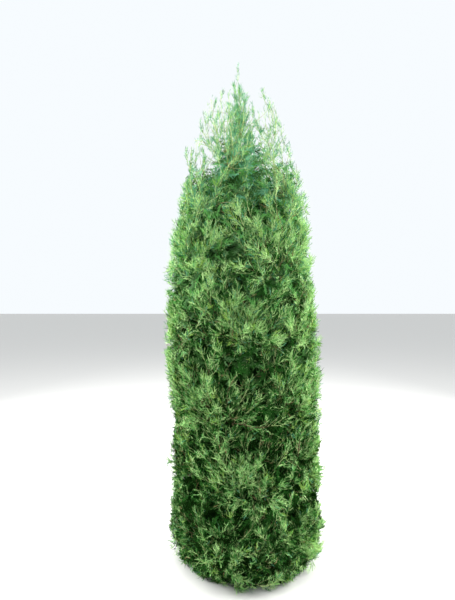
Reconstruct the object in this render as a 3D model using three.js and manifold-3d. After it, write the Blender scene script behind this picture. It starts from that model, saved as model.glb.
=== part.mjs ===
// A young columnar cypress tree, 2.9 m high: one straight trunk, tiers of slender boughs that sweep
// out and up, and a dense crown of feathery sprays that reaches the ground.
// Millimetres, +Z up, with the origin at the flat cut under the trunk.
import * as THREE from "three";
import { mergeVertices } from "three/addons/utils/BufferGeometryUtils.js";
import Module from "manifold-3d";

// Driving sizes of the whole tree
const TREE_HEIGHT = 2900;
const CROWN_RADIUS = 455;
const SHOULDER_HEIGHT = 1080; // above this the crown draws in to its top
const SKIRT_HEIGHT = 450; // below this it tucks in to the ground
const GROUND_TUCK = 0.35; // share of the radius that the skirt loses at the ground
const TOP_LEAN = -55; // how far the tip stands to the left of the foot
const SWAY = 9; // the gentle bends of the trunk on its way up

// Trunk
const TRUNK_HEIGHT = 2565;
const TRUNK_FOOT_RADIUS = 34;
const TRUNK_TIP_RADIUS = 4;
const FLARE = 17; // what the root flare adds at the ground
const FLARE_HEIGHT = 55;
const FLARE_LOBES = 5;
const TRUNK_SIDES = 10;
const TRUNK_STEPS = 14;

// Boughs and twigs
const BOUGH_END = 0.4; // share of the crown's radius where a bough enters its foliage
const BOUGH_SIDES = 5;
const BOUGH_STEPS = 3;
const STEM_STEPS = 2;
const TWIG_SIDES = 3;
const TWIG_STEPS = 2;
const TWIG_RADIUS = 3.4;
const TWIG_TIP_RADIUS = 2;
const PATH_STEP = 0.02;
const GOLDEN = 0.618; // spreads the twigs evenly along their stem
const UNEVEN = 0.07; // share of the reach that a twig may fall short
const FAN_ACROSS = 0.84; // how much of a mass's space its twigs fan out over
const FAN_LOW = 0.1;
const FAN_HIGH = 0.93;
const CLEAR = 0.3; // air between solids that meet
const CELL_MARGIN = 4; // least air between a mass and the side of its space
const SMALLEST_DETAIL = 0.3;

// How the tiers of foliage rise from the trunk to the crown's face
const TIER_RISE = 425;
const TIER_SHRINK = 4.8;
const LIFT = 330;
const DROOP = 70;
const SWEEP = 1.5; // above 1 the boughs turn up on their way out

// Sprays
const SPRAY_LENGTH = 240;
const SPRAY_WIDTH = 0.4; // share of its length
const SPRAY_THICKNESS = 0.025; // share of its length
const ROOT_SUNK = 12; // how deep a spray's root sits in its twig
const SPRAY_OUTLINE = [
  [1, 0],
  [0.66, 0.34],
  [0.56, 0.2],
  [0.3, 0.5],
  [0, 0.03],
]; // tip, tooth, notch, tooth, root, as shares of the length and the width
const RIDGE_PLACE = 0.3;
const SIDE_SPRAYS = [
  [0.84, 0.6],
  [0.66, -0.7],
]; // place along the twig and how far each turns sideways
const LEADER_TWIGS = 13;

// Cores of the dense masses, as shares of the crown's radius
const CORE_PLACE = 0.61;
const CORE_DEPTH = 0.17;
const CORE_ACROSS = 0.95;
const CORE_RISE = 0.47;
const CORE_ROUNDING = 0.45; // 1 is a ball, less is nearer to a block
const CORE_LUMPS = 0.08;
const CORE_SUNK = 0.93; // how far out in the core the sprays' roots sit

const TIERS = [
  { name: "skirt", masses: 4, turn: 0.1, sprays: 16, forks: 0, bough: 7.5, core: 1, spray: 1 },
  { name: "lower", masses: 4, turn: 0.72, sprays: 18, forks: 0, bough: 8.5, core: 1, spray: 1 },
  { name: "waist", masses: 4, turn: 0.2, sprays: 18, forks: 0, bough: 8, core: 1, spray: 1 },
  { name: "middle", masses: 4, turn: 0.85, sprays: 18, forks: 0, bough: 7.5, core: 1, spray: 1.05 },
  { name: "upper", masses: 4, turn: 0.1, sprays: 16, forks: 0, bough: 6.5, core: 0.95, spray: 1.05 },
  { name: "shoulder", masses: 3, turn: 0.9, sprays: 16, forks: 0, bough: 5.5, core: 0.8, spray: 1 },
  { name: "crest", masses: 3, turn: -1.0, sprays: 14, forks: 2, bough: 0, core: 0, spray: 0.75 },
];

const BARK = new THREE.MeshStandardMaterial({ color: 0x6b4a35, roughness: 0.9, metalness: 0 });
const FOLIAGE = new THREE.MeshStandardMaterial({ color: 0x4c8434, roughness: 0.75, metalness: 0 });
const TIP_FOLIAGE = new THREE.MeshStandardMaterial({ color: 0x6f9a48, roughness: 0.75, metalness: 0 });

const UP = new THREE.Vector3(0, 0, 1);
const { clamp, lerp } = THREE.MathUtils;
const wasm = await Module();
wasm.setup();

// A number from 0 to 1 that depends only on its seeds.
function chance(seed, index) {
  const wave = Math.sin(seed * 127.1 + index * 311.7 + 0.5) * 43758.5453;
  return wave - Math.floor(wave);
}

// The i-th point of a sequence that covers a unit square evenly, however far it is carried.
function evenPoint(i) {
  const x = 0.5 + i * 0.7548776662;
  const y = 0.5 + i * 0.569840291;
  return [x - Math.floor(x), y - Math.floor(y)];
}

// The crown as a frame of its own: the turn round the axis, the share of the radius, and the tier.

function axisAt(z) {
  const share = z / TREE_HEIGHT;
  return new THREE.Vector3(
    TOP_LEAN * share ** 1.2 + SWAY * Math.sin(share * 9) * share,
    SWAY * Math.sin(share * 7 + 1) * share,
    z,
  );
}

function crownRadius(z) {
  const taper = clamp((z - SHOULDER_HEIGHT) / (TREE_HEIGHT - SHOULDER_HEIGHT), 0, 1);
  const tuck = clamp(1 - z / SKIRT_HEIGHT, 0, 1);
  return CROWN_RADIUS * (1 - taper ** 2.4) ** 0.7 * (1 - GROUND_TUCK * tuck ** 3);
}

// Height at the trunk and rise from there to the crown's face.
function tierHeights(tier) {
  const outer = TIER_RISE * tier - TIER_SHRINK * tier * tier;
  const lift = LIFT * (1 - Math.exp(-0.9 * tier)) - DROOP * Math.exp(-tier);
  return { inner: outer - lift, lift };
}

function crownHeight(tier, share) {
  const { inner, lift } = tierHeights(tier);
  return inner + lift * Math.max(share, 0) ** SWEEP;
}

function crownPoint(turn, share, tier) {
  const z = Math.max(crownHeight(tier, share), 0);
  const r = share * crownRadius(z);
  return axisAt(z).add(new THREE.Vector3(r * Math.cos(turn), r * Math.sin(turn), 0));
}

// The tier whose surface passes through a height at a share of the radius, by halving.
function tierAt(z, share) {
  let low = -1;
  let high = 12;
  for (let i = 0; i < 30; i++) {
    const middle = (low + high) / 2;
    if (crownHeight(middle, share) < z) low = middle;
    else high = middle;
  }
  return low;
}

// The waved surface between tier number n and the one under it.
function tierEdge(n, turn) {
  return n === 0 ? 0 : n + 0.13 * Math.sin(3 * turn + 2.1 * n);
}

// The waved side between mass k and the one before it, at a share of the tier's height.
function sideEdge(n, k, rise) {
  const { masses, turn } = TIERS[n];
  const step = (2 * Math.PI) / masses;
  const wrapped = (k + masses) % masses;
  const shift = 0.3 * (chance(n + 1, wrapped) - 0.5) + 0.1 * Math.sin(6 * rise + 2 * wrapped + n);
  return turn + (k + shift) * step;
}

// A point of a mass's space: across from -1 to 1, the share of the radius, and rise from 0 to 1.
function cellPoint(cell, across, share, rise) {
  const left = sideEdge(cell.tier, cell.k, rise);
  const right = sideEdge(cell.tier, cell.k + 1, rise);
  const turn = lerp(left, right, (across + 1) / 2);
  const tier = lerp(tierEdge(cell.tier, turn), tierEdge(cell.tier + 1, turn), rise);
  return crownPoint(turn, share, tier);
}

// True if a point is inside a mass's space, with the margin all round.
function insideCell(cell, point) {
  if (point.z < CELL_MARGIN) return false;
  const axis = axisAt(point.z);
  const dx = point.x - axis.x;
  const dy = point.y - axis.y;
  const r = Math.hypot(dx, dy);
  const share = r / Math.max(crownRadius(point.z), 1);
  const tier = tierAt(point.z, share);
  const turn = Math.atan2(dy, dx);
  const low = tierEdge(cell.tier, turn);
  const margin = CELL_MARGIN / TIER_RISE;
  if (cell.tier === TIERS.length) return tier > low + margin;
  const high = tierEdge(cell.tier + 1, turn);
  if (tier < low + margin || tier > high - margin || share < cell.inner) return false;
  const rise = (tier - low) / (high - low);
  const left = sideEdge(cell.tier, cell.k, rise);
  const right = sideEdge(cell.tier, cell.k + 1, rise);
  const from = turn - left - 2 * Math.PI * Math.floor((turn - left) / (2 * Math.PI));
  return from * r > CELL_MARGIN && (right - left - from) * r > CELL_MARGIN;
}

// Shapes: each starts as a three.js geometry whose points are then moved into place.

function closedForm(geometry) {
  geometry.deleteAttribute("normal");
  geometry.deleteAttribute("uv");
  return mergeVertices(geometry, 1e-4);
}

function moved(geometry, place) {
  const position = geometry.attributes.position;
  const point = new THREE.Vector3();
  for (let i = 0; i < position.count; i++) {
    const at = place(point.fromBufferAttribute(position, i).clone());
    position.setXYZ(i, at.x, at.y, at.z);
  }
  return geometry;
}

function solidOf(geometry) {
  return new wasm.Manifold(
    new wasm.Mesh({
      numProp: 3,
      vertProperties: geometry.attributes.position.array,
      triVerts: new Uint32Array(geometry.index.array),
    }),
  );
}

// Two directions square to a limb that runs along a third.
function sideways(along) {
  const lean = Math.abs(along.z) > 0.9 ? new THREE.Vector3(0, 1, 0) : UP;
  const side = new THREE.Vector3().crossVectors(along, lean).normalize();
  return [side, new THREE.Vector3().crossVectors(side, along).normalize()];
}

// A tapering limb along path(s), s from 0 to 1: a cylinder bent along the path.
function limb(path, radius, sides, steps) {
  const form = closedForm(new THREE.CylinderGeometry(1, 1, 1, sides, steps));
  const [side] = sideways(path(1).sub(path(0)).normalize());
  return solidOf(
    moved(form, (p) => {
      const s = p.y + 0.5;
      const along = path(Math.min(s + 0.02, 1)).sub(path(Math.max(s - 0.02, 0))).normalize();
      const across = side.clone().addScaledVector(along, -side.dot(along)).normalize();
      const over = new THREE.Vector3().crossVectors(across, along);
      return path(s)
        .addScaledVector(across, p.x * radius(s))
        .addScaledVector(over, p.z * radius(s));
    }),
  );
}

function trunkRadius(z) {
  const share = clamp(z / TRUNK_HEIGHT, 0, 1);
  return lerp(TRUNK_FOOT_RADIUS, TRUNK_TIP_RADIUS, share ** 0.85);
}

// The trunk, or with extra over 0 the room that its neighbours leave for it.
function trunkForm(extra) {
  const top = TRUNK_HEIGHT + extra;
  const form = closedForm(new THREE.CylinderGeometry(1, 1, 1, TRUNK_SIDES, TRUNK_STEPS));
  return solidOf(
    moved(form, (p) => {
      const z = top * (p.y + 0.5) ** 1.8;
      const turn = Math.atan2(p.z, p.x);
      const reach = Math.hypot(p.x, p.z);
      const flare = FLARE * Math.exp(-z / FLARE_HEIGHT) * (1 + 0.35 * Math.cos(FLARE_LOBES * turn));
      const r = (trunkRadius(z) + flare + extra) * reach;
      return axisAt(z).add(new THREE.Vector3(r * Math.cos(turn), -r * Math.sin(turn), 0));
    }),
  );
}

// A toothed blade with a low ridge on both faces: a sphere's one ring is moved to the blade's outline.
function blade(root, along, face, length) {
  const count = 2 * (SPRAY_OUTLINE.length - 1);
  const form = closedForm(new THREE.SphereGeometry(1, count, 2));
  const across = new THREE.Vector3().crossVectors(along, face).normalize();
  const over = new THREE.Vector3().crossVectors(across, along).normalize();
  const points = [];
  const solid = solidOf(
    moved(form, (p) => {
      const at = root.clone();
      if (Math.abs(p.y) > 0.5) {
        at.addScaledVector(along, RIDGE_PLACE * length);
        at.addScaledVector(over, 0.5 * Math.sign(p.y) * SPRAY_THICKNESS * length);
      } else {
        const place = Math.round((Math.atan2(p.z, p.x) * count) / (2 * Math.PI));
        const [far, wide] = SPRAY_OUTLINE[Math.abs(place)];
        at.addScaledVector(along, far * length);
        at.addScaledVector(across, Math.sign(place) * wide * SPRAY_WIDTH * length);
        points.push(at);
      }
      return at;
    }),
  );
  return { solid, points };
}

// A lumpy core inside a mass: a ball drawn out to a rounded block of the mass's space.
function core(cell, size) {
  const form = closedForm(new THREE.IcosahedronGeometry(1, 1));
  const block = (x) => Math.sign(x) * Math.abs(x) ** CORE_ROUNDING;
  return solidOf(
    moved(form, (p) => {
      const lump = 1 - CORE_LUMPS * chance(cell.seed, p.x * 3 + p.y * 5 + p.z * 7);
      const share = CORE_PLACE + CORE_DEPTH * size * block(p.x) * lump;
      const across = CORE_ACROSS * size * block(p.y) * lump;
      const rise = 0.5 + CORE_RISE * size * block(p.z) * lump;
      return cellPoint(cell, across, share, rise);
    }),
  );
}

// True if a place in a mass's space is well inside its core.
function insideCore(size, across, share, rise) {
  const inward = CORE_SUNK * size * (1 - CORE_LUMPS);
  const x = Math.abs(share - CORE_PLACE) / (CORE_DEPTH * inward);
  const y = Math.abs(across) / (CORE_ACROSS * inward);
  const z = Math.abs(rise - 0.5) / (CORE_RISE * inward);
  return Math.hypot(x ** (1 / CORE_ROUNDING), y ** (1 / CORE_ROUNDING), z ** (1 / CORE_ROUNDING)) < 1;
}

// Fuses the parts and keeps the one body with the stem: sealed hollows are filled and loose scraps dropped.
function fused(parts) {
  const bodies = wasm.Manifold.union(parts).simplify(SMALLEST_DETAIL).decompose();
  return bodies.reduce((a, b) => (a.volume() > b.volume() ? a : b));
}

function piece(name, solid, material, foot) {
  const { vertProperties, triVerts } = solid.getMesh();
  const geometry = new THREE.BufferGeometry();
  geometry.setAttribute("position", new THREE.BufferAttribute(new Float32Array(vertProperties), 3));
  geometry.setIndex(new THREE.BufferAttribute(triVerts, 1));
  geometry.translate(-foot.x, -foot.y, -foot.z);
  geometry.computeVertexNormals();
  const mesh = new THREE.Mesh(geometry, material);
  mesh.name = name;
  mesh.position.copy(foot);
  return mesh;
}

// The growth rule

function stemRise(share) {
  return 0.4 + 0.2 * share * share;
}

// The line down the middle of a mass's space that its bough and stem follow.
function middleLine(cell, share) {
  return cellPoint(cell, 0, share, stemRise(share));
}

// The course of twig i of a mass, as across, share and rise. It leaves the stem low down, runs out and
// sideways first, and then turns up to its place on the crown's face. Number 0 is the stem's outer end.
function twigCourse(cell, i) {
  const [x, y] = evenPoint(i);
  const root = TIERS[cell.tier].core ? CORE_PLACE - 0.7 * CORE_DEPTH : cell.inner + 0.03;
  const start = lerp(root, CORE_PLACE, (0.5 + GOLDEN * i) % 1);
  const end = cell.reach * lerp(1 - UNEVEN, 1, chance(cell.seed, i));
  const across = i ? FAN_ACROSS * (2 * x - 1) : 0;
  const rise = i ? lerp(FAN_LOW, FAN_HIGH, y) : stemRise(end);
  return (s) => {
    const share = lerp(start, end, 1 - (1 - s) ** 1.5);
    return [across * s ** 0.6, share, lerp(stemRise(start), rise, s ** 1.2)];
  };
}

// Adds one spray, rolled or made shorter until it stays in the mass's space and crosses no other spray.
function addSpray(cell, parts, root, along, roll, length) {
  const outward = root.clone().sub(axisAt(root.z)).setZ(0.01).normalize();
  for (const shorter of [1, 0.85, 0.7]) {
    for (const turn of [0, 0.7, 1.4]) {
      const face = outward.clone().applyAxisAngle(along, roll + turn);
      const { solid, points } = blade(root, along, face, length * shorter);
      const clear = points.every((p) => insideCell(cell, p));
      if (!clear || cell.sprays.some((other) => !other.intersect(solid).isEmpty())) continue;
      cell.sprays.push(solid);
      parts.push(solid);
      return true;
    }
  }
  return false;
}

// One side twig with a spray at its end, and in the airy masses with others on both sides of it.
// A twig that stays inside the core as far as its spray isn't made.
function addTwig(cell, parts, i) {
  const spec = TIERS[cell.tier];
  const course = twigCourse(cell, i);
  const path = (s) => cellPoint(cell, ...course(s));
  const longest = spec.spray * SPRAY_LENGTH * lerp(0.9, 1.1, chance(cell.seed, i + 300));
  let exit = 1;
  while (exit > 0 && !insideCore(spec.core, ...course(exit))) exit -= PATH_STEP;
  let split = 1;
  while (split > Math.max(exit, 0.05) && path(split).distanceTo(path(1)) < longest) split -= PATH_STEP;
  const joint = path(split);
  const along = path(1).sub(joint).normalize();
  const length = path(1).distanceTo(joint) + ROOT_SUNK;
  const roll = 1.4 * (chance(cell.seed, i + 200) - 0.5);
  const ended = addSpray(cell, parts, joint.clone().addScaledVector(along, -ROOT_SUNK), along, roll, length);
  let end = ended ? split : 0;
  for (const [place, turn] of SIDE_SPRAYS.slice(0, spec.forks)) {
    const side = new THREE.Vector3().crossVectors(along, UP).normalize().multiplyScalar(i % 2 ? turn : -turn);
    const fork = path(place * split).addScaledVector(side, -2);
    const branching = along.clone().multiplyScalar(0.75).add(side).normalize();
    const forked = addSpray(cell, parts, fork, branching, roll + 0.5, 0.85 * longest);
    if (forked) end = Math.max(end, place * split + 0.03);
  }
  const from = Math.max(exit - 2 * PATH_STEP, 0);
  const line = (s) => path(lerp(from, end, s));
  const radius = (s) => lerp(TWIG_RADIUS, TWIG_TIP_RADIUS, s);
  if (end > exit) parts.push(limb(line, radius, TWIG_SIDES, TWIG_STEPS));
}

function boughAndMass(tier, k, room) {
  const spec = TIERS[tier];
  const pieces = [];
  const seed = 10 * tier + k + 1;
  const inner = spec.bough ? BOUGH_END : 0.06;
  const cell = { tier, k, seed, inner, reach: lerp(0.97, 1.04, chance(seed, 7)), sprays: [] };
  const name = `${spec.name}_foliage_${k + 1}`;
  const stemRadius = spec.bough ? 0.68 * spec.bough : 4;
  const heel = middleLine(cell, inner);
  if (spec.bough) {
    const line = (s) => middleLine(cell, lerp(0, BOUGH_END, s));
    const bough = limb(line, (s) => lerp(spec.bough, stemRadius, s), BOUGH_SIDES, BOUGH_STEPS);
    const foot = middleLine(cell, (1.1 * trunkRadius(heel.z)) / CROWN_RADIUS);
    pieces.push(piece(`${spec.name}_bough_${k + 1}`, fused([bough.subtract(room)]), BARK, foot));
  }
  const tipward = middleLine(cell, inner + 0.02).sub(heel).normalize();
  const gap = spec.bough ? CLEAR : 0;
  const stemEnd = spec.core ? CORE_PLACE : 0.5;
  const line = (s) => middleLine(cell, lerp(inner, stemEnd, s)).addScaledVector(tipward, gap * (1 - s));
  const parts = [limb(line, (s) => lerp(stemRadius, TWIG_RADIUS, s), BOUGH_SIDES, STEM_STEPS)];
  if (spec.core) parts.push(core(cell, spec.core));
  for (let i = 0; i < 3 * spec.sprays && cell.sprays.length < spec.sprays; i++) addTwig(cell, parts, i);
  const mass = fused(parts);
  pieces.push(piece(name, spec.bough ? mass : fused([mass.subtract(room)]), FOLIAGE, heel));
  return pieces;
}

// The plume at the very top: twigs set round the leader by the golden angle, each with its spray.
function leaderPlume() {
  const cell = { tier: TIERS.length, k: 0, seed: 99, inner: 0, reach: 1, sprays: [] };
  const foot = axisAt(TRUNK_HEIGHT + CLEAR);
  const top = 0.6 * SPRAY_LENGTH;
  const line = (s) => axisAt(lerp(foot.z, TREE_HEIGHT - 0.8 * top, s));
  const parts = [limb(line, (s) => lerp(TRUNK_TIP_RADIUS, 1.6, s), BOUGH_SIDES, STEM_STEPS)];
  const crown = axisAt(TREE_HEIGHT - top);
  addSpray(cell, parts, crown, axisAt(TREE_HEIGHT).sub(crown).normalize(), 0, top);
  for (let i = 0; i < LEADER_TWIGS; i++) {
    const s = 0.04 + (0.84 * i) / LEADER_TWIGS;
    const turn = 2.4 * i + 0.6;
    const spread = lerp(0.75, 0.3, s);
    const along = new THREE.Vector3(Math.cos(turn) * spread, Math.sin(turn) * spread, 1).normalize();
    const root = line(s).addScaledVector(along, -0.5 * ROOT_SUNK);
    addSpray(cell, parts, root, along, 0.8 * (chance(99, i) - 0.5), SPRAY_LENGTH * lerp(1.05, 0.6, s));
  }
  return piece("leader_foliage", fused(parts), TIP_FOLIAGE, foot);
}

const tree = new THREE.Group();
const room = trunkForm(CLEAR / Math.cos(Math.PI / TRUNK_SIDES));
tree.add(piece("trunk", trunkForm(0), BARK, new THREE.Vector3()));
TIERS.forEach((spec, tier) => {
  for (let k = 0; k < spec.masses; k++) tree.add(...boughAndMass(tier, k, room));
});
tree.add(leaderPlume());

export default tree;
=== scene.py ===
# %% [markdown]
# # A young columnar cypress, dressed for a picture
#
# The frame already holds the tree's solids: one trunk, slender boughs, and masses of foliage that keep to
# their own spaces. This lesson grows the real surface on them: bark with its stringy relief, twigs, long
# upswept shoots, and some hundred and seventy thousand small sprays, all worked out as whole numpy arrays
# from one seeded rule. Everything is in metres, +Z up, with the origin at the flat cut under the trunk.

# %% Load the frame
import math

import bpy
import mathutils
import numpy as np
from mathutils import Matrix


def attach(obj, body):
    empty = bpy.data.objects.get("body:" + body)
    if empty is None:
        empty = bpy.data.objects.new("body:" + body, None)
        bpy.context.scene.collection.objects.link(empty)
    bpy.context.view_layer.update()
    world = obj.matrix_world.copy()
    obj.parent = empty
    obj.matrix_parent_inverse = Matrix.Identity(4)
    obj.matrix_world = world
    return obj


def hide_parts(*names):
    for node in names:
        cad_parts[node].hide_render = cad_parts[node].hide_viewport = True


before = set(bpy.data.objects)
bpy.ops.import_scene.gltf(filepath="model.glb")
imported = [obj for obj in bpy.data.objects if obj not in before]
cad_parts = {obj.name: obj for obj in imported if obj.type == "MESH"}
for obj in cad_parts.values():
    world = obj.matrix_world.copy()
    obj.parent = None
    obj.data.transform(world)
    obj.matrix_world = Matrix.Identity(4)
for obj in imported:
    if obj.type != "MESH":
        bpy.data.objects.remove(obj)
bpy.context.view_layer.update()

# %% [markdown]
# ## The camera comes first
#
# The photograph was taken by hand at eye height, about three metres away, and the horizon runs through the
# middle of the tree. So the camera stands level with the middle of the crown and looks down by only one
# degree. The longer side of the picture is its height, so the sensor's 36 mm run up the picture.

# %% Camera
CAMERA_PLACE = (-0.112, -2.954, 1.571)
CAMERA_PITCH = math.radians(-1.15)
CAMERA_LENS = 30.0

camera_data = bpy.data.cameras.new("camera")
camera_data.lens = CAMERA_LENS
camera = bpy.data.objects.new("camera", camera_data)
camera.location = CAMERA_PLACE
camera.rotation_euler = (math.pi / 2 + CAMERA_PITCH, 0, 0)
bpy.context.scene.collection.objects.link(camera)
bpy.context.scene.camera = camera
print("camera", CAMERA_PLACE, "pitch", round(math.degrees(CAMERA_PITCH), 2))

# %% [markdown]
# ## The crown as a frame of its own
#
# The solids were laid out in crown coordinates, and the sprays have to grow in the same spaces, so the same
# formulas are written here again, for whole arrays. A place in the crown is its turn round the trunk, its
# share of the crown's radius, and its tier. Tiers start low at the trunk and climb on their way out, as
# the boughs of this tree do. Each mass of foliage is a box in these coordinates.

# %% Driving sizes of the tree
TREE_HEIGHT = 2.9
CROWN_RADIUS = 0.455
SHOULDER_HEIGHT = 1.08
SKIRT_HEIGHT = 0.45
GROUND_TUCK = 0.35
TOP_LEAN = -0.055
SWAY = 0.009
TIER_RISE = 0.425
TIER_SHRINK = 0.0048
LIFT = 0.33
DROOP = 0.07
SWEEP = 1.5
CORE_PLACE = 0.61
CORE_DEPTH = 0.17
TIERS = [
    ("skirt", 4, 0.1, 0.0075),
    ("lower", 4, 0.72, 0.0085),
    ("waist", 4, 0.2, 0.008),
    ("middle", 4, 0.85, 0.0075),
    ("upper", 4, 0.1, 0.0065),
    ("shoulder", 3, 0.9, 0.0055),
    ("crest", 3, -1.0, 0.0),
]  # name, masses, turn of the first side, radius of a bough at the trunk
print(sum(tier[1] for tier in TIERS), "masses in", len(TIERS), "tiers")


# %% Formulas of the crown
def chance(seed, index):
    """A number from 0 to 1 for each seed and index: the part after the point of a large, fast sine wave."""
    wave = np.sin(seed * 127.1 + index * 311.7 + 0.5) * 43758.5453
    return wave - np.floor(wave)


def offset(seed, index):
    """A number from -0.5 to 0.5 for each seed and index."""
    return chance(seed, index) - 0.5


def lerp(low, high, share):
    """The value that lies at a share of the way from low to high."""
    return low + (high - low) * share


def varied(seed, index, most=1.3):
    """A factor from 0.7 to the most for each seed and index."""
    return lerp(0.7, most, chance(seed, index))


def fade(value, start, end):
    """From 0 at the start and before it to 1 at the end and after it. The end may be below the start."""
    return np.clip((value - start) / (end - start), 0, 1)


def unit(vectors):
    """Each vector divided by its own length."""
    return vectors / np.maximum(np.linalg.norm(vectors, axis=-1, keepdims=True), 1e-9)


def axis_at(z):
    """The trunk's centre line: it leans with its height to the power 1.2, and sways in two slow waves."""
    share = np.maximum(z, 0) / TREE_HEIGHT
    x = TOP_LEAN * share**1.2 + SWAY * np.sin(share * 9) * share
    y = SWAY * np.sin(share * 7 + 1) * share
    return np.stack([x, y, z], axis=-1)


def crown_radius(z):
    """Even up to the shoulder, then drawn in to the top, and tucked in a little just above the ground."""
    taper = fade(z, SHOULDER_HEIGHT, TREE_HEIGHT)
    tuck = fade(z, SKIRT_HEIGHT, 0)
    return CROWN_RADIUS * (1 - taper**2.4) ** 0.7 * (1 - GROUND_TUCK * tuck**3)


def crown_height(tier, share):
    """A tier's height at the trunk, plus its lift times the share of the radius to the power SWEEP."""
    outer = TIER_RISE * tier - TIER_SHRINK * tier * tier
    lift = LIFT * (1 - np.exp(-0.9 * tier)) - DROOP * np.exp(-tier)
    return outer - lift + lift * np.maximum(share, 0) ** SWEEP


def crown_point(turn, share, tier):
    """From crown coordinates to metres: out from the centre line by a share of the radius at that height."""
    z = np.maximum(crown_height(tier, share), 0)
    r = share * crown_radius(z)
    return axis_at(z) + np.stack([r * np.cos(turn), r * np.sin(turn), 0 * z], axis=-1)


def tier_edge(n, turn):
    """The waved surface under tier n; the lowest is the ground and isn't waved."""
    return n + (0.13 * np.sin(3 * turn + 2.1 * n) if n else 0 * turn)


def side_edge(n, k, rise):
    """The waved side before mass k of tier n: its even turn, a seeded shift, and a wave up its height."""
    _, masses, turn, _ = TIERS[n]
    wrapped = k % masses
    shift = 0.3 * offset(n + 1, wrapped) + 0.1 * np.sin(6 * rise + 2 * wrapped + n)
    return turn + (k + shift) * 2 * math.pi / masses


def cell_point(cell, across, share, rise):
    """A place in a mass's space: across is -1 to 1 between its sides, rise is 0 to 1 between its tiers."""
    n, k = cell
    turn = lerp(side_edge(n, k, rise), side_edge(n, k + 1, rise), (across + 1) / 2)
    tier = lerp(tier_edge(n, turn), tier_edge(n + 1, turn), rise)
    return crown_point(turn, share, tier)


def stem_rise(share):
    """The middle line of a mass climbs with the square of the share."""
    return 0.4 + 0.2 * share * share


print("crown radius at the middle", round(float(crown_radius(np.array(1.0))), 3))

# %% [markdown]
# ## From arrays to meshes
#
# A million small faces can't be made one by one, so every piece is filled with foreach_set: all points in
# one call and all corners in another. Limbs, twigs and shoots are all tubes, a circle carried along a path.
# Both ends of a tube are closed, so that it looks solid also from its end.


# %% Mesh helpers
def put_mesh(name, points, faces, material, slot, replaced):
    """Makes one mesh piece from an array of points and an array of triangles."""
    mesh = bpy.data.meshes.new(name)
    mesh.vertices.add(len(points))
    mesh.vertices.foreach_set("co", np.ascontiguousarray(points, np.float32).ravel())
    mesh.loops.add(faces.size)
    mesh.loops.foreach_set("vertex_index", np.ascontiguousarray(faces, np.int32).ravel())
    mesh.polygons.add(len(faces))
    mesh.polygons.foreach_set("loop_start", np.arange(0, faces.size, 3, dtype=np.int32))
    mesh.update(calc_edges=True)
    mesh.materials.append(material)
    piece = bpy.data.objects.new(name, mesh)
    bpy.context.scene.collection.objects.link(piece)
    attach(piece, "root")
    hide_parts(*replaced)
    lowest = round(float(points[:, 2].min()), 4)
    print(name, len(points), "points", len(faces), "triangles, lowest", lowest)


def joined(parts):
    """Joins pairs of points and faces into one, each pair's face numbers moved past the points before."""
    starts = np.cumsum([0] + [len(points) for points, _ in parts[:-1]])
    points = np.concatenate([points for points, _ in parts])
    return points, np.concatenate([faces + start for (_, faces), start in zip(parts, starts)])


def closed_faces(rings, sides):
    """
    Triangles of a closed tube whose points are a near end, rings of points, and a far end: a fan at each
    end, and two triangles for each side and each step between the rings.
    """
    k = np.arange(sides)
    here = 1 + sides * np.arange(rings)[:, None] + k
    beside = 1 + sides * np.arange(rings)[:, None] + (k + 1) % sides
    near = np.stack([0 * k, beside[0], here[0]], axis=-1)
    low = np.stack([here[:-1], beside[:-1], beside[1:]], axis=-1).reshape(-1, 3)
    high = np.stack([here[:-1], beside[1:], here[1:]], axis=-1).reshape(-1, 3)
    far = np.stack([here[-1], beside[-1], 0 * k + rings * sides + 1], axis=-1)
    return np.concatenate([near, low, high, far])


def tubes(paths, radii, sides):
    """
    Circles of the given radii carried along many paths at once, square to them, from a flat near end to a
    far end that is drawn in to a point.
    """
    along = unit(np.gradient(paths, axis=-2))
    level = np.stack([-along[..., 1], along[..., 0], 0 * along[..., 0]], axis=-1) + (1e-4, 0, 0)
    side = unit(level - along * np.sum(level * along, axis=-1, keepdims=True))
    over = np.cross(along, side)
    turn = np.arange(sides) * 2 * math.pi / sides
    ring = side[..., None, :] * np.cos(turn)[:, None] + over[..., None, :] * np.sin(turn)[:, None]
    rings = (paths[..., None, :] + radii[..., None, None] * ring)[:, :-1]
    count, steps = rings.shape[:2]
    points = np.concatenate([paths[:, :1], rings.reshape(count, -1, 3), paths[:, -1:]], axis=1)
    faces = np.arange(count)[:, None, None] * points.shape[1] + closed_faces(steps, sides)
    return points.reshape(-1, 3), faces.reshape(-1, 3)


print("a tube of 3 rings and 3 sides has", len(closed_faces(3, 3)), "triangles")

# %% [markdown]
# ## Finishes
#
# Two effects are shared by more than one material, so each is a node group with named sockets. The fibre
# group stretches noise up the trunk and gives stringy bark its streaks and its height. The mottle group
# gives living green a faint unevenness. The greens themselves are plain colours, some named for how the
# growth looks and some for the light and shade they stand for: which spray is fresh and which is old, and
# which takes painted light or painted shade, is decided when the sprays are dealt out, not by a pattern.


# %% Node groups
def new_group(name, colours, measure):
    """A shader group that takes named colours and gives one colour and a measure, and its two end nodes."""
    group = bpy.data.node_groups.new(name, "ShaderNodeTree")
    for label in colours:
        group.interface.new_socket(label, in_out="INPUT", socket_type="NodeSocketColor")
    group.interface.new_socket("Color", in_out="OUTPUT", socket_type="NodeSocketColor")
    group.interface.new_socket(measure, in_out="OUTPUT", socket_type="NodeSocketFloat")
    return group, group.nodes.new("NodeGroupInput"), group.nodes.new("NodeGroupOutput")


def fill(node, values):
    """Sets the inputs of a node by their names."""
    for label, value in values.items():
        node.inputs[label].default_value = value


def noise_node(tree, place, scale, detail, roughness):
    """A noise texture that reads the given coordinates."""
    noise = tree.nodes.new("ShaderNodeTexNoise")
    fill(noise, {"Scale": scale, "Detail": detail, "Roughness": roughness})
    tree.links.new(place, noise.inputs["Vector"])
    return noise.outputs["Fac"]


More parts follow.
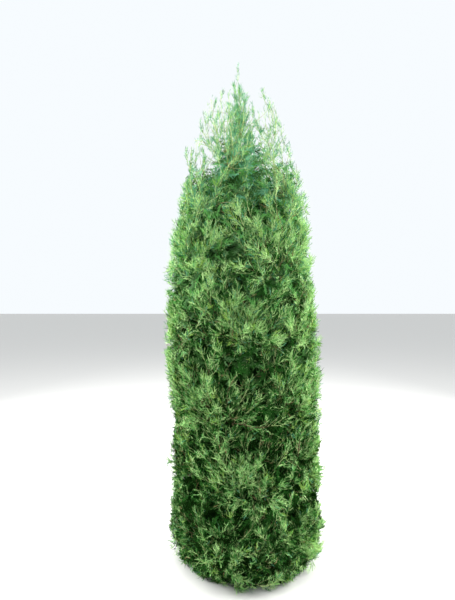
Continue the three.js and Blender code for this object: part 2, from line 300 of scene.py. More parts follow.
def mix_node(tree, factor, a, b):
    """Mixes two colours by a factor. The node's colours are its seventh and eighth input, third output."""
    mix = tree.nodes.new("ShaderNodeMix")
    mix.data_type = "RGBA"
    tree.links.new(factor, mix.inputs["Factor"])
    tree.links.new(a, mix.inputs[6])
    tree.links.new(b, mix.inputs[7])
    return mix.outputs[2]


def ramp_node(tree, value, low, high, least=0, most=1):
    """Stretches a value so that low becomes the least and high becomes the most."""
    ramp = tree.nodes.new("ShaderNodeMapRange")
    fill(ramp, {"From Min": low, "From Max": high, "To Min": least, "To Max": most})
    tree.links.new(value, ramp.inputs["Value"])
    return ramp.outputs["Result"]


def make_fibre_group():
    """Noise stretched up the trunk, mixed with broad patches, for the bark's colour and height."""
    group, start, end = new_group("fibre", ("Dark", "Light", "Grey"), "Height")
    place = group.nodes.new("ShaderNodeTexCoord")
    stretch = group.nodes.new("ShaderNodeMapping")
    fill(stretch, {"Scale": (1.0, 1.0, 0.07)})
    group.links.new(place.outputs["Object"], stretch.inputs["Vector"])
    streaks = noise_node(group, stretch.outputs["Vector"], scale=420, detail=4, roughness=0.65)
    patches = noise_node(group, place.outputs["Object"], scale=18, detail=3, roughness=0.5)
    streaked = ramp_node(group, streaks, 0.35, 0.68)
    colour = mix_node(group, streaked, start.outputs["Dark"], start.outputs["Light"])
    weathered = ramp_node(group, patches, 0.48, 0.75)
    greyed = mix_node(group, weathered, colour, start.outputs["Grey"])
    group.links.new(greyed, end.inputs["Color"])
    group.links.new(streaked, end.inputs["Height"])
    return group


def make_mottle_group():
    """Mixes a colour with a second one by soft noise, and gives a roughness that wanders with it."""
    group, start, end = new_group("mottle", ("Color", "Shade"), "Roughness")
    place = group.nodes.new("ShaderNodeTexCoord")
    spots = noise_node(group, place.outputs["Object"], scale=55, detail=2, roughness=0.6)
    share = ramp_node(group, spots, 0.35, 0.65)
    colour = mix_node(group, share, start.outputs["Color"], start.outputs["Shade"])
    group.links.new(colour, end.inputs["Color"])
    group.links.new(ramp_node(group, spots, 0, 1, least=0.5, most=0.72), end.inputs["Roughness"])
    return group


fibre_group = make_fibre_group()
mottle_group = make_mottle_group()
print("node groups", [g.name for g in bpy.data.node_groups])


# %% Materials
def new_material(name, group, specular):
    """A material with one Principled shader and one placed group, whose colour it takes."""
    material = bpy.data.materials.new(name)
    material.use_nodes = True
    tree = material.node_tree
    shader = tree.nodes["Principled BSDF"]
    fill(shader, {"Specular IOR Level": specular})
    effect = tree.nodes.new("ShaderNodeGroup")
    effect.node_tree = group
    tree.links.new(effect.outputs["Color"], shader.inputs["Base Color"])
    return material, tree, shader, effect


def make_bark(name, dark, light, grey):
    """Stringy bark: fibres give the colour and, through a bump, the fine relief."""
    material, tree, shader, fibre = new_material(name, fibre_group, 0.2)
    fill(shader, {"Roughness": 0.9})
    fill(fibre, {"Dark": (*dark, 1), "Light": (*light, 1), "Grey": (*grey, 1)})
    bump = tree.nodes.new("ShaderNodeBump")
    fill(bump, {"Strength": 0.6, "Distance": 0.002})
    tree.links.new(fibre.outputs["Height"], bump.inputs["Height"])
    tree.links.new(bump.outputs["Normal"], shader.inputs["Normal"])
    return material


def make_green(name, colour):
    """
    Living green: a plain colour, mottled with a slightly darker one. Fresh growth is waxy, so its gloss is a
    quarter of what its green is over 0.1, and the dark greens of the inside have none.
    """
    material, tree, shader, mottle = new_material(name, mottle_group, 0.25 * max(colour[1] - 0.1, 0))
    fill(mottle, {"Color": (*colour, 1), "Shade": (*(0.8 * c for c in colour), 1)})
    tree.links.new(mottle.outputs["Roughness"], shader.inputs["Roughness"])
    return material


bark = make_bark("bark", (0.05, 0.028, 0.018), (0.3, 0.17, 0.11), (0.24, 0.22, 0.18))
old_twig = make_bark("old_twig", (0.07, 0.04, 0.022), (0.23, 0.16, 0.08), (0.2, 0.19, 0.11))
young_stem = make_bark("young_stem", (0.2, 0.18, 0.06), (0.48, 0.5, 0.18), (0.28, 0.38, 0.14))
young_twig = make_green("young_twig", (0.53, 0.66, 0.27))
# The six greens from the freshest to shade are one scale: the sprays take them partly by how fresh they are
# and partly as painted light and shade, pale where the crown would be lit and dark where it would be shaded.
SPRAY_TINTS = {
    "fresh_and_lit": (0.46, 0.74, 0.27),
    "bright": (0.26, 0.57, 0.17),
    "light": (0.12, 0.37, 0.085),
    "green": (0.052, 0.2, 0.036),
    "deep": (0.019, 0.082, 0.013),
    "shade": (0.007, 0.026, 0.004),
    "dim": (0.043, 0.12, 0.029),
    "dull": (0.09, 0.2, 0.07),
    "lime": (0.3, 0.54, 0.1),
    "blue": (0.13, 0.38, 0.2),
    "straw": (0.32, 0.26, 0.12),
}
spray_materials = {tint: make_green(f"spray_{tint}", colour) for tint, colour in SPRAY_TINTS.items()}
print(len(bpy.data.materials), "materials")

# %% [markdown]
# ## The trunk
#
# A cypress's bark hangs in long vertical strips. A bump in the material would give their shading but not
# their edge, so the strips are in the mesh. The trunk is a surface of two parameters, the turn and the
# height, and its radius is the solid's own radius less a relief: ridges that run up the trunk, wander
# a little from side to side, and are cut across here and there. Its top is young wood, with green in it.

# %% Trunk with its bark
TRUNK_HEIGHT = 2.565
TRUNK_FOOT_RADIUS = 0.034
TRUNK_TIP_RADIUS = 0.004
FLARE = 0.017
FLARE_HEIGHT = 0.055
FLARE_LOBES = 5
LOBE_DEPTH = 0.35
BARK_RELIEF = 0.0022
STEM_START = 1.9


def trunk_radius(z):
    """From the foot's radius to the tip's, by the height to the power 0.85."""
    return lerp(TRUNK_FOOT_RADIUS, TRUNK_TIP_RADIUS, fade(z, 0, TRUNK_HEIGHT) ** 0.85)


def bark_ridges(turn, z):
    """Strips of bark from 0 to 1: two wandering waves round the trunk, broken by slower ones up it."""
    wander = 0.5 * np.sin(9 * z + 2 * np.sin(3 * turn)) + 0.3 * np.sin(23 * z + turn)
    strips = np.abs(np.sin(7 * turn + wander)) ** 0.6
    threads = 0.5 + 0.5 * np.sin(31 * turn + 4 * wander + 11 * np.sin(5 * z))
    breaks = 0.5 + 0.5 * np.sin(60 * z + 9 * np.sin(4 * turn))
    return 0.6 * strips + 0.25 * threads + 0.15 * breaks


def make_trunk(low, high, rows, columns=48):
    """
    Rings up the centre line, closer together low down, closed by a point in the middle of the foot and one
    in the middle of the tip. The rings run clockwise, so the faces are turned over.
    """
    z = lerp(low, high, np.linspace(0, 1, rows)[:, None] ** 1.4) + np.zeros(columns)
    turn = np.linspace(0, 2 * math.pi, columns, endpoint=False) + np.zeros((rows, 1))
    flare = FLARE * np.exp(-z / FLARE_HEIGHT) * (1 + LOBE_DEPTH * np.cos(FLARE_LOBES * turn))
    depth = BARK_RELIEF * np.clip(trunk_radius(z) / TRUNK_FOOT_RADIUS, 0.2, 1)
    r = trunk_radius(z) + flare - depth * (1 - bark_ridges(turn, z))
    points = axis_at(z) + np.stack([r * np.cos(turn), -r * np.sin(turn), 0 * r], axis=-1)
    foot, tip = axis_at(z[0, :1]), axis_at(z[-1, :1])
    points = np.concatenate([foot, points.reshape(-1, 3), tip])
    return points, closed_faces(rows, columns)[:, ::-1]


put_mesh("trunk_bark", *make_trunk(0, STEM_START, 200), bark, "bark", ["trunk"])
put_mesh("young_stem", *make_trunk(STEM_START, TRUNK_HEIGHT, 40), young_stem, "bark", ["trunk"])

# %% [markdown]
# ## Boughs and stems
#
# Each bough leaves the trunk nearly level, sweeps out and turns up, and goes on as the stem of its mass of
# foliage. It is one tube along the middle line of its space, thick at the trunk and thin at the crown's
# face, with a few seeded knots along it.


# %% Boughs
BOUGH_END = 0.93
BOUGH_END_RADIUS = 0.0016
KNOTS = 0.12


def all_cells():
    """Each mass of the crown as its tier and number."""
    return [(n, k) for n, (_, masses, _, _) in enumerate(TIERS) for k in range(masses)]


def mass_seed(cell):
    """A different seed for each mass."""
    return 10 * cell[0] + cell[1] + 1


def middle_line(cell, share):
    """The line down the middle of a mass's space."""
    return cell_point(cell, 0 * share, share, stem_rise(share))


def limb_radii(first, last, share, seed):
    """A taper from the first radius to the last, with small seeded swellings along it."""
    knots = 1 + KNOTS * np.sin(40 * share + 6 * chance(seed, 1)) * np.sin(17 * share + 6 * chance(seed, 2))
    return lerp(first, last, share**0.8) * knots


def make_boughs(steps=26, sides=9):
    """One tube for each bough, from inside the trunk to the end of its mass's stem."""
    share = np.linspace(0, 1, steps)
    parts = []
    for cell in all_cells():
        radius = TIERS[cell[0]][3]
        if radius:
            radii = limb_radii(radius, BOUGH_END_RADIUS, share, mass_seed(cell))
            parts.append(tubes(middle_line(cell, BOUGH_END * share)[None], radii[None], sides))
    return joined(parts)


bough_names = [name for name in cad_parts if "_bough_" in name]
put_mesh("bough_bark", *make_boughs(), bark, "bark", bough_names)

# %% [markdown]
# ## The rule of growth
#
# A twig of a mass leaves the stem low down, runs out and sideways first, and then turns up to its place on
# the crown's face. Places drawn at random would crowd here and leave holes there, so they come from an even
# sequence: however many there are, they keep their distance. These twigs are the same ones that the solids
# have, and they carry the finer growth.

# %% Twigs
GOLDEN = 0.618
UNEVEN = 0.07
FAN_ACROSS = 0.84
FAN_LOW = 0.1
FAN_HIGH = 0.93
PATH_STEPS = 9
TWIGS = {"skirt": 16, "lower": 18, "waist": 18, "middle": 18, "upper": 16, "shoulder": 16, "crest": 14}


def even_points(count):
    """The first points of a sequence that fills a square evenly: multiples of two fractions, wrapped."""
    i = np.arange(count)
    return (0.5 + i * 0.7548776662) % 1, (0.5 + i * 0.569840291) % 1


def mass_reach(cell):
    """How far out a mass grows, as a share of the crown's radius."""
    return lerp(0.97, 1.04, chance(mass_seed(cell), 7))


def twig_paths(cell):
    """The twigs of a mass: out along the radius at once, sideways early and up late, ending on the face."""
    name, _, _, bough = TIERS[cell[0]]
    x, y = even_points(TWIGS[name])
    i = np.arange(TWIGS[name])
    root = CORE_PLACE - 0.7 * CORE_DEPTH if bough else 0.09
    start = lerp(root, CORE_PLACE, (0.5 + GOLDEN * i) % 1)[:, None]
    end = mass_reach(cell) * lerp(1 - UNEVEN, 1, chance(mass_seed(cell), i))[:, None]
    across = np.where(i, FAN_ACROSS * (2 * x - 1), 0)[:, None]
    rise = np.where(i, lerp(FAN_LOW, FAN_HIGH, y), stem_rise(end[0]))[:, None]
    s = np.linspace(0, 1, PATH_STEPS)
    share = lerp(start, end, 1 - (1 - s) ** 1.5)
    return cell_point(cell, across * s**0.6, share, lerp(stem_rise(start), rise, s**1.2))


twigs = {cell: twig_paths(cell) for cell in all_cells()}
print(sum(len(paths) for paths in twigs.values()), "twigs")

# %% [markdown]
# ## Leading shoots
#
# What the eye sees on this tree are its leading shoots: plumes as long as a hand, upswept, that cover the
# crown like feathers on a bird. Combed particles would look alike, but their paths can't be measured or kept
# within a size, so each shoot is worked out as a curve. The tips are dealt out over a mass's face by the
# same even sequence. A shoot arrives at its tip outwards, up and a little to one side, and its foot is the
# nearest place on a twig to where it would have come from.
#
# Real plumes differ, so each shoot has its luck, a number from 0 to 1. With more of it the shoot stands
# further out of the crown, and its sprays will be fresher. The lowest shoots hang out over the ground. From
# the shoulder up, some tips stray higher than their place, so that the full crown thins out into the crest
# without a step, and in the thin top the shoots stand steeper and their side shoots lie closer to them. The
# leader, the trunk's own thin end, carries a plume of its own.

# %% Leading shoots
SHOOTS_PER_TIER = 152
FULLNESS = {"crest": 0.62, "shoulder": 1.25}
TIPS = {"crest": (0.05, 1.6), "shoulder": (0.4, 0.6)}  # the deepest tip's share, and the power of the luck
OTHER_TIPS = (0.82, 0.6)
OUTERMOST = 0.99
SHOOT_LENGTHS = (0.15, 0.3)
STEEPNESS = (math.radians(38), math.radians(60))
STEEP_SPREAD = 0.7
SIDEWAYS = 1.2
STRAY = 0.42
STRAY_BEGINS = (1.6, 2.0)
STRAY_ENDS = (2.75, 2.25)
THIN_TOP = (1.9, 2.4)
TOP_STEEPNESS = 0.3
TOP_PLUMES = 0.2
FACES = (0.8, 1.012)
PULL = 0.65
FOOT_SPREAD = 0.28
LOWEST = 0.008
LAST_HEIGHT = 2.8
LEAST_RADIUS = 0.05
UP = np.array([0.0, 0.0, 1.0])
LEADER_SHOOTS = 44
LEADER_FEET = (1.95, 2.68)
LEADER_LENGTHS = (0.28, 0.1)
LEADER_SPREAD = (0.6, 0.35)
LEADER_END = (2.54, 2.885)
GOLDEN_ANGLE = 2.4


def outwards(places):
    """The level direction from the trunk's centre line to each place."""
    return unit((places - axis_at(places[..., 2])) * (1, 1, 0) + (1e-5, 2e-5, 0))


def openness(places):
    """From 0 where the crown is full, up to 1.9 m, to 1 in its thin top, above 2.4 m."""
    return fade(places[..., 2], *THIN_TOP)


def slighter(places, cut):
    """A factor that is 1 where the crown is full and less by the cut in its thin top."""
    return 1 - cut * openness(places)


def foot_spread(z):
    """How much further than the solids the lowest shoots hang out, most at the ground."""
    return 1 + FOOT_SPREAD * fade(z, SKIRT_HEIGHT, 0) ** 2


def crown_share(places):
    """
    How far out a place is, as a share of the crown's radius at its height. That radius is taken at the last
    height for all that is higher, and it is 5 cm at the least.
    """
    z = places[..., 2]
    out = np.linalg.norm((places - axis_at(z))[..., :2], axis=-1)
    return out / np.maximum(crown_radius(np.minimum(z, LAST_HEIGHT)) * foot_spread(z), LEAST_RADIUS)


def drawn_in(paths, luck):
    """
    The paths, with what passes the crown's face drawn in towards it, and nothing below the ground. The face
    lies further out for a shoot with more luck, and in the thin top the luckiest stand well out of it.
    """
    share = crown_share(paths)
    luck = luck[:, None]
    face = lerp(*FACES, luck) + TOP_PLUMES * openness(paths) * luck**4
    pulled = 1 - PULL * np.maximum(share - face, 0) / np.maximum(share, face)
    middle = axis_at(paths[..., 2])
    return np.maximum(middle + (paths - middle) * pulled[..., None], (-np.inf, -np.inf, LOWEST))


def curved_paths(foot, tip, heading, luck):
    """
    Curves from foot to tip that arrive in the given heading. Each is a parabola whose one control point lies
    back from the tip along the heading, by half the straight distance.
    """
    bend = tip - 0.5 * np.linalg.norm(tip - foot, axis=-1, keepdims=True) * heading
    s = np.linspace(0, 1, PATH_STEPS)[:, None]
    path = (1 - s) ** 2 * foot[:, None] + 2 * s * (1 - s) * bend[:, None] + s * s * tip[:, None]
    return drawn_in(path, luck)


def shoot_luck(group, paths):
    """The luck of each shoot of a group."""
    return chance(group + 0.9, np.arange(len(paths)))


def nearest(places, carriers):
    """For each place, the one of the carriers' points that is nearest to it."""
    gaps = np.linalg.norm(places[:, None] - carriers, axis=-1)
    return carriers[np.argmin(gaps, axis=1)]


def stray(z, luck):
    """How much higher than its place a tip goes: by the luck to the power 1.8, where there is room."""
    return STRAY * fade(z, *STRAY_BEGINS) * fade(z, *STRAY_ENDS) * luck**1.8


def shoot_paths(cell, feet):
    """
    The leading shoots of a mass, with their tips over its face and their feet on the twigs. A tip's share of
    the radius runs from the deepest to 0.99 by luck to a power, so that most tips are near the face.
    """
    name, masses, _, _ = TIERS[cell[0]]
    seed = mass_seed(cell)
    count = int(FULLNESS.get(name, 1) * (SHOOTS_PER_TIER // masses))
    i = np.arange(count)
    x, y = even_points(count)
    deepest, power = TIPS.get(name, OTHER_TIPS)
    share = mass_reach(cell) * lerp(deepest, OUTERMOST, chance(seed + 0.5, i) ** power)
    tip = cell_point(cell, 2 * x - 1, share, y)
    tip = lerp(axis_at(tip[:, 2]), tip, foot_spread(tip[:, 2:]))
    tip[:, 2] += stray(tip[:, 2], chance(seed + 0.4, i))
    out = outwards(tip)
    steep = lerp(*STEEPNESS, tip[:, 2] / TREE_HEIGHT) + STEEP_SPREAD * offset(seed + 0.6, i)
    steep += TOP_STEEPNESS * openness(tip)
    sideways = SIDEWAYS * offset(seed + 0.7, i) * slighter(tip, 0.5)
    heading = unit(
        out * np.cos(steep)[:, None] + UP * np.sin(steep)[:, None] + np.cross(UP, out) * sideways[:, None]
    )
    length = (lerp(*SHOOT_LENGTHS, chance(seed + 0.8, i)) * slighter(tip, 0.4))[:, None]
    return curved_paths(nearest(tip - heading * length, feet), tip, heading, shoot_luck(seed, tip))


def leader_paths():
    """
    Shoots from the leader, each turned from the last by the golden angle, and leaving it higher, steeper and
    shorter. The last path is the leader's own end.
    """
    i = np.arange(LEADER_SHOOTS)
    place = (i + 0.5) / LEADER_SHOOTS
    turn = GOLDEN_ANGLE * i + 0.6
    spread = lerp(*LEADER_SPREAD, place)
    heading = unit(np.stack([np.cos(turn) * spread, np.sin(turn) * spread, 1 + 0 * spread], axis=-1))
    foot = axis_at(lerp(*LEADER_FEET, place))
    length = lerp(*LEADER_LENGTHS, place) * varied(99, i, 1.0)
    tip = foot + heading * length[:, None]
    stem = axis_at(np.array(LEADER_END))
    foot, tip = np.concatenate([foot, stem[:1]]), np.concatenate([tip, stem[1:]])
    return curved_paths(foot, tip, np.concatenate([unit(heading + 0.5 * UP), [UP]]), shoot_luck(0, tip))


feet = np.concatenate([some[:, 1:-1].reshape(-1, 3) for some in twigs.values()])
paths = {cell: np.concatenate([shoot_paths(cell, feet), twigs[cell]]) for cell in all_cells()}
paths["leader"] = leader_paths()
print(sum(len(some) for some in paths.values()), "shoots with the twigs")

# %% [markdown]
# ## A spray
#
# The finest growth of a cypress is threads of scale leaves, too many to model scale by scale. A spray is
# the last few centimetres of it. It could be a picture of a spray on a flat card, but a card has a square
# outline and looks like paper from the side. Here it is a curled line with short pointed teeth on both
# sides, and each tooth is one triangle that stands for a thread. The foot of a tooth takes two steps of the
# line, and the teeth on the other side are set one step on, so that the spray is closed along its line and
# open between its teeth. Each tooth is tipped out of the spray by its own small angle, to catch the light
# differently.

# %% Spray shape
TOOTH_ANGLE = math.radians(40)
TOOTH_TILT = 1.5
SIDE_TEETH = 5
SIDE_TOOTH_LENGTH = 0.24
INNER_TEETH = 10
INNER_TOOTH_LENGTH = 0.4


def spray_points(root, heading, flat, bend, length, seed, teeth, tooth_length):
    """
    The corners of many sprays, as (sprays, corners, 3). The line is root + length (heading t + bend t
    squared), for t from 0 to 1, in teeth + 1 steps. Tooth j starts at step j and points forward at the tooth
    angle; its length is a share of the spray's, less towards the tip, and it leans out by a seeded angle.
    """
    size = length[:, None, None]
    flat = unit(flat - heading * np.sum(flat * heading, axis=-1, keepdims=True))[:, None]
    normal = np.cross(unit(heading)[:, None], flat)
    heading, bend, root = heading[:, None], bend[:, None], root[:, None]
    t = np.linspace(0, 1, teeth + 2)[None, :, None]
    line = root + size * (heading * t + bend * t * t)
    j = np.arange(teeth)
    t = t[:, 1:-1]
    along = unit(heading + 2 * bend * t)
    tilt = TOOTH_TILT * offset(seed[:, None], j + 900)[..., None]
    out = np.where(j % 2, 1.0, -1.0)[None, :, None] * flat * np.cos(tilt) + normal * np.sin(tilt)
    angle = TOOTH_ANGLE * (1.1 - 0.7 * t**3) * varied(seed[:, None], j + 700)[..., None]
    reach = tooth_length * size * (1 - 0.55 * t) * varied(seed[:, None], j + 800)[..., None]
    ends = line[:, 1:-1] + reach * (along * np.cos(angle) + out * np.sin(angle))
    return np.concatenate([line, ends], axis=1)


def spray_faces(teeth):
    """Corner numbers of one spray's teeth: two points of the line and the tooth's end."""
    j = np.arange(teeth)
    return np.stack([j, j + 2, teeth + 2 + j], axis=-1)


print("triangles in a side spray", len(spray_faces(SIDE_TEETH)), "and in an inner one", INNER_TEETH)

# %% [markdown]
# ## Side shoots
#
# A leading shoot carries side shoots as long as a finger, on alternate sides, longest a third of the way
# along it, and a side shoot carries the sprays in the same way. So one function arranges both: it takes
# any paths and says where the next finer growth leaves them, and in which direction. Near the crown's face
# a side shoot turns up along it, which keeps the tree a column.

# %% Side shoots
SIDE_SHOOTS = 8
SIDE_SHOOT_LENGTH = 0.1
SIDE_SHOOT_ANGLE = math.radians(36)
SIDE_SHOOT_SPAN = (0.22, 0.97)
SIDE_SHOOT_LOOSENESS = 2.0
SIDE_SHOOT_RIM = (0.72, 0.94)
SEEDS_PER_GROUP = 3000.0
SIDE_STEPS = 4
SHOOT_END = 0.68
PLANE_TURN = 2.8
RIM_TURN = 0.6
SIDE_SHOOT_BEND = 0.22
UPTURN = 0.1
TOP_CLOSENESS = 0.35


def along_paths(paths, s):
    """The places at shares s along paths of points, and the directions there."""
    at = s * (paths.shape[1] - 1)
    low = np.minimum(at.astype(int), paths.shape[1] - 2)
    rows = np.arange(len(paths))[:, None]
    here, there = paths[rows, low], paths[rows, low + 1]
    return here + (there - here) * (at - low)[..., None], unit(there - here)


def fern_profile(s, rise, last):
    """The length of finer growth at a share s: up from 0.6 to 1 by the share rise, then down to the last."""
    return np.clip(s / rise, 0.6, 1) * lerp(1, last, s**1.5)


def arranged(paths, count, first_seed, span, angle, looseness):
    """
    Where count finer shoots leave each path, at shares within the span: their seeds, shares, places, the
    path's directions, their own, and their sides. They leave on alternate sides of a plane that is turned
    at random for each path, and each is turned out of it by up to half the looseness, in radians. Their
    angle to the path varies, and is less towards its tip and in the thin top.
    """
    j = np.arange(count)[None, :]
    seed = (first_seed + count * np.arange(len(paths))[:, None] + j) * 0.37
    s = lerp(*span, ((j + chance(seed, 1)) / count) ** 0.85)
    place, along = along_paths(paths, s)
    side = unit(np.cross(along, UP) + 1e-6)
    over = np.cross(side, along)
    turn = math.pi * (j % 2) + looseness * offset(seed, 2) + PLANE_TURN * offset(seed[:, :1], 11)
    away = side * np.cos(turn)[..., None] + over * np.sin(turn)[..., None]
    angle = angle * varied(seed, 3, 1.25) * (1 - 0.35 * s**3)
    angle = (angle * slighter(place, TOP_CLOSENESS))[..., None]
    return seed, s, place, along, unit(along * np.cos(angle) + away * np.sin(angle)), away


def side_shoots(paths, group):
    """
    Curved side shoots of many leading shoots, and each leading shoot's own end as one more, with the luck of
    each, which is mostly its leading shoot's. Near the crown's face they turn away from the outside. In the
    thin top they are shorter, and the further out they are, the more of them are left out.
    """
    seed, s, place, along, heading, _ = arranged(
        paths, SIDE_SHOOTS, SEEDS_PER_GROUP * group, SIDE_SHOOT_SPAN, SIDE_SHOOT_ANGLE, SIDE_SHOOT_LOOSENESS
    )
    out = outwards(place)
    rim = fade(crown_share(place), *SIDE_SHOOT_RIM)
    proud = np.maximum(np.sum(heading * out, axis=-1), 0) * rim
    heading = unit(heading - RIM_TURN * proud[..., None] * out)
    length = SIDE_SHOOT_LENGTH * fern_profile(s, 0.35, 0.4) * varied(seed, 4)
    length = (length * slighter(place, 0.5))[..., None, None]
    t = np.linspace(0, 1, SIDE_STEPS)[:, None]
    bend = SIDE_SHOOT_BEND * along + UPTURN * UP
    shoots = place[..., None, :] + length * (heading[..., None, :] * t + bend[..., None, :] * t * t)
    kept = chance(seed, 9) > 0.7 * openness(place) * np.clip(crown_share(place), 0.3, 1)
    ends, _ = along_paths(paths, np.linspace(SHOOT_END, 1, SIDE_STEPS)[None] + np.zeros((len(paths), 1)))
    luck = shoot_luck(group, paths)
    lucks = np.concatenate([lerp(luck[:, None], chance(seed, 12), 0.25)[kept], luck])
    return drawn_in(np.concatenate([shoots[kept], ends]), lucks), lucks


groups = {cell: mass_seed(cell) if cell in twigs else 0 for cell in paths}
grown = [side_shoots(some, groups[cell]) for cell, some in paths.items()]
fine = np.concatenate([some for some, _ in grown])
fine_luck = np.concatenate([luck for _, luck in grown])
print(len(fine), "side shoots")

# %% [markdown]
# ## Sprays on the shoots
#
# Sprays leave a shoot on alternate sides, nearly in one plane, as they do on a cypress, and each curls its
# own way. Their colour could be a noise pattern over the whole tree, but then it would cut across the
# sprays. So a whole spray takes one tint, dealt out by its place and luck, and much of it is painted light
# and shade: on the outside fresh and yellowish, and lit, behind that mid green, inside deep and shaded,
# paler towards the top and the right and darker towards the ground. More and more of them are bluish towards
# the thin top, in part as painted sky glow, some young shoots are lime, and a few sprays are dry and straw
# brown.

# %% Side sprays
TINT_NAMES = list(SPRAY_TINTS)
LEVELS = np.array([TINT_NAMES.index(t) for t in ("shade", "deep", "green", "light", "bright", "fresh_and_lit")])
LIGHT_STEPS = [-0.5, -0.1, 0.15, 0.4, 0.65]
FACE_SHARE = 0.87
MIDDLE_HEIGHT = 1.3
# Painted light and shade by height and side: paler upwards and to the right, darker towards the ground.
HEIGHT_LIGHT = [
    (MIDDLE_HEIGHT, 2.0, 0.72, 0.6),
    (MIDDLE_HEIGHT, 0.5, 0.3, -0.2),
    (0.7, 0.3, -0.5, -1.7),
]  # from one height to another, the change per metre up, and its own change per metre to the right
# Painted shade deep in the crown and painted light at its face and in its open top; the tips are paler as
# young growth.
OUTER_LIGHT = 3.1
TIP_LIGHT = 0.4
TOP_LIGHT = 1.0
SPRAY_LUCK = 1.6
SHOOT_LUCK = 0.5
PLUME_LUCK = 0.7
PATCH_LIGHT = 0.12
SPRAYS_PER_SHOOT = 11
SPRAYS_PER_LEADING_SHOOT = 13
SPRAY_LENGTH = 0.042
SPRAY_ANGLE = math.radians(40)
SPRAY_SPAN = (0.08, 1.0)
SPRAY_LOOSENESS = 1.2
SPRAY_BEND = 0.2
YOUNG_CHANCES = (0.12, 0.3)  # of a shoot anywhere, and more in the middle of the thin top
# Blue sprays, more of them towards the thin top, are in part painted sky glow.
BLUE_CHANCES = (0.04, 0.16, 0.6)  # of a spray anywhere, more above the middle height, more in the thin top
DRY_CHANCES = (0.015, 0.05)  # of a spray anywhere, and more inside the lower crown
SEEN = (0.3, 0.65)
AIRINESS = 0.75
GROUND_GAPS = (0.003, 0.007)
CURL = 1.3


def spray_light(place, s, seed, plume):
    """
    How light each spray is, much of it painted light and shade: a sum of how far out in the crown it is,
    which is painted shade inside and painted light at the face, of how far along its shoot, where the young
    ends are paler, of the luck of the spray, its shoot and its plume, of slow waves that make patches, and
    of the height. Painted light makes the tree paler in its open top, in its upper half and to its right,
    and painted shade makes it darker towards the ground; the upper half is also younger growth.
    """
    x, y, z = place[..., 0], place[..., 1], place[..., 2]
    light = OUTER_LIGHT * (crown_share(place) - FACE_SHARE) * slighter(place, 0.95)
    light += TIP_LIGHT * s + PLUME_LUCK * (plume[:, None] - 0.5) + TOP_LIGHT * openness(place)
    light += SPRAY_LUCK * offset(seed, 5) + SHOOT_LUCK * offset(seed[:, :1], 10)
    patch = np.sin(11 * x + 5 * z + 1) * np.sin(12 * y - 4 * z) + 0.6 * np.sin(17 * z + 7 * x - 6 * y)
    light += PATCH_LIGHT * patch
    for start, end, upwards, rightwards in HEIGHT_LIGHT:
        light += (upwards + rightwards * x) * (end - start) * fade(z, start, end)
    return light


def spray_tints(place, s, seed, plume):
    """A tint number per spray: its light's step, partly painted, on the scale of greens, or lime, blue or
    straw.
    """
    levels = np.searchsorted(LIGHT_STEPS, spray_light(place, s, seed, plume))
    share, z, thin = crown_share(place), place[..., 2], openness(place)
    young = chance(seed[:, :1], 13) < YOUNG_CHANCES[0] + YOUNG_CHANCES[1] * thin * (share < 0.5)
    lime = young & (levels >= 3) & (chance(seed, 6) > 0.3)
    anywhere, upper, top = BLUE_CHANCES
    cool = anywhere + upper * fade(z, MIDDLE_HEIGHT, THIN_TOP[0]) + top * thin
    blue = (chance(seed, 6) < cool) & (levels >= 2)
    dry = chance(seed, 8) < DRY_CHANCES[0] + DRY_CHANCES[1] * (share < 0.85) * (z < 1.6)
    tint = LEVELS[levels]
    for name, chosen in (("lime", lime), ("blue", blue), ("straw", dry)):
        tint = np.where(chosen, TINT_NAMES.index(name), tint)
    return tint


def side_sprays(paths, plume, count, first_seed):
    """
    Sprays on alternate sides of each shoot, and a tint for each. Those deep in the crown, which nobody sees,
    are mostly left out. In the thin top more are left out the further out or the higher they are, up to
    three quarters.
    """
    seed, s, place, along, heading, away = arranged(
        paths, count, first_seed, SPRAY_SPAN, SPRAY_ANGLE, SPRAY_LOOSENESS
    )
    length = SPRAY_LENGTH * fern_profile(s, 0.3, 0.45) * varied(seed, 4)
    length = length * slighter(place, 0.35)
    seen = np.maximum(fade(crown_share(place), *SEEN), 0.25) + openness(place)
    least = np.clip(1.4 * (place[..., 2] - 2.35), 0.25, 0.9)
    airy = AIRINESS * openness(place) * np.clip(crown_share(place), least, 1)
    kept = (chance(seed, 9) > airy) & (chance(seed, 14) < seen)
    curl = CURL * offset(seed, 15)[..., None] * np.cross(heading, away)
    bend = SPRAY_BEND * along + UPTURN * UP + curl
    chosen = [values[kept] for values in (place, heading, away, bend, length, seed)]
    return spray_points(*chosen, SIDE_TEETH, SIDE_TOOTH_LENGTH), spray_tints(place, s, seed, plume)[kept]


def dealt_out(grown):
    """The sprays of each tint as one array of corners, none of them below the ground."""
    corners = np.concatenate([corners for corners, _ in grown])
    tints = np.concatenate([tints for _, tints in grown])
    floor = lerp(*GROUND_GAPS, chance(3.0, np.arange(len(corners))))[:, None]
    corners[..., 2] = np.maximum(corners[..., 2], floor)
    return {name: corners[tints == i] for i, name in enumerate(TINT_NAMES)}


leading = np.concatenate(list(paths.values()))
leading_luck = np.concatenate([shoot_luck(groups[cell], some) for cell, some in paths.items()])
on_side_shoots = side_sprays(fine, fine_luck, SPRAYS_PER_SHOOT, 0.0)
on_leading_shoots = side_sprays(leading, leading_luck, SPRAYS_PER_LEADING_SHOOT, 500.0)
side = dealt_out([on_side_shoots, on_leading_shoots])
print("side sprays", {name: len(sprays) for name, sprays in side.items()})
